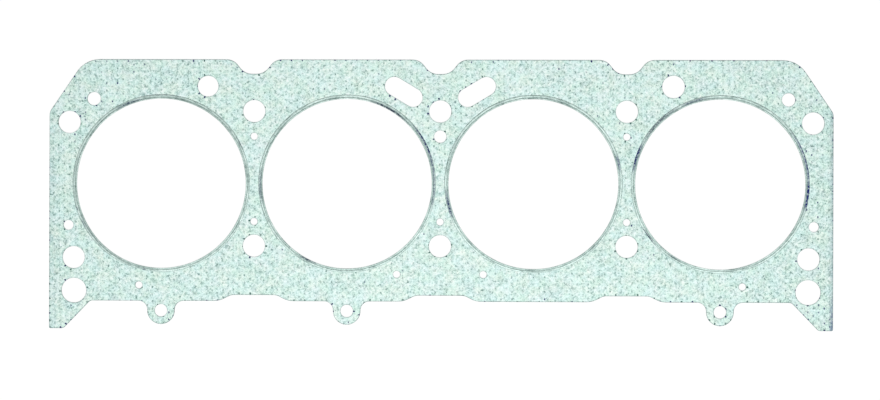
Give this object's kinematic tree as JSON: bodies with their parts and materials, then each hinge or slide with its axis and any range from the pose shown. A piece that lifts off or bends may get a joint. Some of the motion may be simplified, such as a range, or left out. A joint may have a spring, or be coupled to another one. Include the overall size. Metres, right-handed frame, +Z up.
{
  "type": "cylinder head gasket",
  "caption": "Flat head gasket for an in-line bank of bores: mint composite sheet, folded steel armour round each bore, bolt and coolant holes, notched upper edge, corner feet and tabs.",
  "frame": {"origin": "middle of the overall length and width, on the plane that the gasket lies on; the line of bores runs at y = 6.75 mm", "axes": "+X along the line of bores, +Y towards the notched edge, +Z up through the sheet"},
  "size_m": [0.4942, 0.1702, 0.0015],
  "materials": {
    "facing_composite": "pressed fibre composite with a pale mint coating, finely mottled, the points of the core showing through in a regular lattice",
    "armour_steel": "thin bright-rolled stainless strip, folded and pressed"
  },
  "bodies": {
    "root": {"gasket_sheet": "facing_composite", "armour_ring_1": "armour_steel", "armour_ring_2": "armour_steel", "armour_ring_3": "armour_steel", "armour_ring_4": "armour_steel"}
  },
  "joints": []
}
